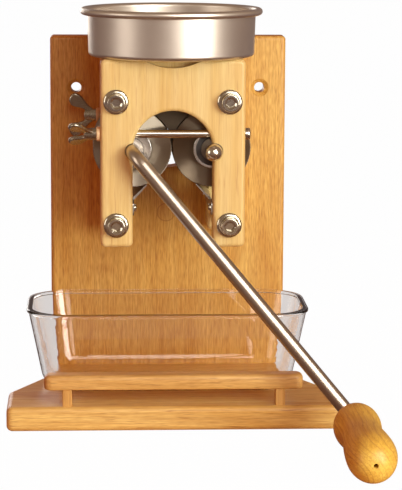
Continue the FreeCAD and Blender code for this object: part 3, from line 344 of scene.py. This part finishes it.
def turned_steel(name, colour, axle):
    """Lathe-turned steel: fine, slightly spiral marks round a roller's axle show as a fan."""
    material, tree, output, place = new_material(name)
    rings = ring_noise(tree, distance_to_line(tree, place, axle.x, axle.z), 5200.0)
    stains = noise(tree, place, 42.0, detail=4.0, distortion=0.6)
    shade = blend_colour(tree, spread(tree, stains, MIDDLE, (0.0, 0.45)), opaque(colour),
                         opaque(colour, 0.68))
    roughness = spread(tree, rings, MIDDLE, (TURNED_ROUGH - 0.05, TURNED_ROUGH + 0.07))
    principled(tree, output, {
        "Base Color": shade, "Metallic": 1.0, "Roughness": roughness,
        "Anisotropic": 1.0, "Anisotropic Rotation": TURNED_SPIRAL,
        "Tangent": tangent_about(tree, "Y"), "Normal": bump(tree, rings, 0.08, 0.03 * MM)})
    return material


def rubber(name, colour):
    """Dull black rubber with a little flour dust."""
    material, tree, output, place = new_material(name)
    fine = noise(tree, place, 1600.0, detail=3.0)
    dust = noise(tree, place, 220.0, detail=4.0)
    shade = blend_colour(tree, spread(tree, dust, (0.45, 0.8), (0.0, 0.25)), opaque(colour),
                         SEAL_DUST)
    principled(tree, output, {
        "Base Color": shade, "Roughness": spread(tree, fine, MIDDLE, (0.46, 0.66)),
        "Normal": bump(tree, fine, 0.2, 0.05 * MM)})
    return material


def nylon(name, colour):
    """Cream plastic with faint clouds."""
    material, tree, output, place = new_material(name)
    clouds = noise(tree, place, 300.0, detail=3.0)
    shade = blend_colour(tree, spread(tree, clouds, (0.4, 0.7), (0.0, 0.3)), opaque(colour),
                         opaque(colour, 0.85))
    principled(tree, output, {
        "Base Color": shade, "Roughness": spread(tree, clouds, MIDDLE, (0.34, 0.46)),
        "Normal": bump(tree, clouds, 0.1, 0.05 * MM)})
    return material


def pressed_glass(name):
    """Clear glass with the slow waves and faint haze of a pressed dish. Light for shadows and light
    that dull surfaces send back go straight through it, so that what is behind it is lit once."""
    material, tree, output, place = new_material(name)
    waves = noise(tree, place, 26.0, detail=1.0)
    haze = noise(tree, place, 180.0, detail=3.0)
    tint = blend_colour(tree, spread(tree, haze, (0.3, 0.8), (0.0, 0.5)), GLASS_TINT, GLASS_HAZE)
    glass = add(tree, "BsdfPrincipled", inputs={
        "Base Color": tint, "IOR": IOR, "Transmission Weight": 1.0,
        "Roughness": spread(tree, haze, (0.4, 0.8), (0.0, 0.025)),
        "Normal": bump(tree, waves, 0.25, 1.0 * MM)})
    clear = add(tree, "BsdfTransparent", inputs={"Color": GLASS_SHADOW})
    paths = add(tree, "LightPath").outputs
    lighting = calc(tree, "MAXIMUM", paths["Is Shadow Ray"], paths["Is Diffuse Ray"])
    blend_shaders(tree, output, lighting, glass.outputs["BSDF"], clear.outputs["BSDF"])
    return material


def make_materials():
    """Every finish by its name."""
    made = {name: beech(name, **settings) for name, settings in BEECHES.items()}
    for name, settings in STEELS.items():
        made[name] = steel(name, **settings)
    for side, colour in ROLLER_COLOURS_WITH_PAINTED_SHADE.items():
        name = "turned_steel_" + side
        made[name] = turned_steel(name, colour, centre_of(side + "_roller"))
    made["cream_nylon"] = nylon("cream_nylon", NYLON_COLOUR)
    made["seal_rubber"] = rubber("seal_rubber", SEAL_COLOUR)
    made["clear_glass"] = pressed_glass("clear_glass")
    return made


def centre_of(node):
    low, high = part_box(node)
    return (low + high) / 2.0


def dress_nodes(materials):
    """Gives each CAD node its special finish, or else that of its slot in the record."""
    for row in frame["record"]["subparts"]:
        finish = SPECIAL_FINISH.get(row["node"], row["material_slot"])
        shown = frame["nodes"][row["node"]].data
        shown.materials.clear()
        shown.materials.append(materials[finish])


# ---- stage, lamps and camera ---------------------------------------------------------------

def stage_material():
    """White where it is looked at. Near the object it is pale paper; farther off, and in mirrors,
    the warm room is met instead, and so the steel keeps its dark sides."""
    material, tree, output, place = new_material("stage_white")
    paths = add(tree, "LightPath").outputs
    flat = add(tree, "VectorMath", {"operation": "MULTIPLY"}, {0: place, 1: (1, 1, 0)})
    reach = add(tree, "VectorMath", {"operation": "LENGTH"}, {0: flat.outputs["Vector"]})
    far = spread(tree, reach.outputs["Value"], FAR_BEGINS)
    mirrored = calc(tree, "MULTIPLY", paths["Is Glossy Ray"],
                    spread(tree, far, (0.0, 1.0), GLOW_MIRRORED))
    # light that a dull surface has sent back before doesn't count as looking
    looked_through = calc(tree, "MULTIPLY", paths["Is Transmission Ray"],
                          calc(tree, "LESS_THAN", paths["Diffuse Depth"], 0.5))
    through = calc(tree, "MULTIPLY", looked_through, GLOW_THROUGH)
    seen = calc(tree, "MULTIPLY", paths["Is Camera Ray"], GLOW_SEEN)
    share = calc(tree, "MAXIMUM", calc(tree, "MAXIMUM", mirrored, through), seen)
    room_share = calc(tree, "MAXIMUM", far, paths["Is Glossy Ray"])
    paper = add(tree, "BsdfDiffuse", inputs={"Color": blend_colour(tree, room_share, PAPER, ROOM)})
    glow = add(tree, "Emission", inputs={"Color": (1, 1, 1, 1), "Strength": 1.0})
    blend_shaders(tree, output, share, paper.outputs["BSDF"], glow.outputs["Emission"])
    return material


def make_sweep():
    """The floor and the backdrop as one bent sheet, from the front to the backdrop's top."""
    line = [(-FLOOR_HALF, -FLOOR_DROP)]
    for step in range(BEND_STEPS + 1):
        angle = math.radians(90.0 * step / BEND_STEPS)
        line.append((BACKDROP_Y - BACKDROP_BEND + BACKDROP_BEND * math.sin(angle),
                     -FLOOR_DROP + BACKDROP_BEND * (1.0 - math.cos(angle))))
    line.append((BACKDROP_Y, BACKDROP_TOP))
    points = [(x, y, z) for y, z in line for x in (-FLOOR_HALF, FLOOR_HALF)]
    faces = [(2 * i, 2 * i + 1, 2 * i + 3, 2 * i + 2) for i in range(len(line) - 1)]
    data = bpy.data.meshes.new("sweep")
    data.from_pydata(points, [], faces)
    data.materials.append(stage_material())
    for face in data.polygons:
        face.use_smooth = True
    sweep = bpy.data.objects.new("sweep", data)
    bpy.context.scene.collection.objects.link(sweep)


def make_world():
    """An even warm light all round, paler where shiny surfaces mirror it."""
    world = bpy.data.worlds.new("studio")
    bpy.context.scene.world = world
    world.use_nodes = True
    tree = world.node_tree
    mirrored = add(tree, "LightPath").outputs["Is Glossy Ray"]
    background = tree.nodes["Background"]
    tree.links.new(blend_colour(tree, mirrored, WORLD_COLOUR, WORLD_MIRRORED),
                   background.inputs["Color"])
    background.inputs["Strength"].default_value = WORLD_STRENGTH


def make_lamp(name, azimuth, height, distance, wide, tall, power, colour, on_matt=True):
    """One of LAMPS, aimed at the object. The camera never sees it."""
    azimuth, height = math.radians(azimuth), math.radians(height)
    way = Vector((math.sin(azimuth) * math.cos(height), -math.cos(azimuth) * math.cos(height),
                  math.sin(height)))
    data = bpy.data.lights.new(name, "AREA")
    data.shape = "RECTANGLE"
    data.size, data.size_y = wide, tall
    data.energy = power
    data.color = colour
    lamp = bpy.data.objects.new(name, data)
    lamp.location = LAMP_AIM + way * distance
    lamp.rotation_mode = "QUATERNION"
    lamp.rotation_quaternion = (-way).to_track_quat("-Z", "Y")
    lamp.visible_diffuse = on_matt
    lamp.visible_camera = False
    bpy.context.scene.collection.objects.link(lamp)


def make_camera():
    """The photograph's camera, from its yaw, pitch and roll."""
    yaw, pitch, roll = CAMERA_YAW, CAMERA_PITCH, CAMERA_ROLL
    ahead = Vector((math.sin(yaw) * math.cos(pitch), math.cos(yaw) * math.cos(pitch),
                    -math.sin(pitch)))
    level = Vector((math.cos(yaw), -math.sin(yaw), 0.0))
    upright = level.cross(ahead)
    right = math.cos(roll) * level + math.sin(roll) * upright
    up = -math.sin(roll) * level + math.cos(roll) * upright
    data = bpy.data.cameras.new("camera")
    data.sensor_fit = "AUTO"
    data.sensor_width = SENSOR
    data.lens = FOCAL_PIXELS * SENSOR / max(IMAGE_WIDTH, IMAGE_HEIGHT)
    data.clip_start, data.clip_end = CAMERA_CLIP
    camera = bpy.data.objects.new("camera", data)
    camera.matrix_world = Matrix.Translation(CAMERA_PLACE) @ Matrix(
        (right, up, -ahead)).transposed().to_4x4()
    bpy.context.scene.collection.objects.link(camera)
    bpy.context.scene.camera = camera


# ---- the scene -----------------------------------------------------------------------------

dress_nodes(make_materials())
make_sweep()
make_world()
for lamp_name, lamp_settings in LAMPS.items():
    make_lamp(lamp_name, **lamp_settings)
make_camera()
bpy.context.scene.view_settings.view_transform = "Standard"
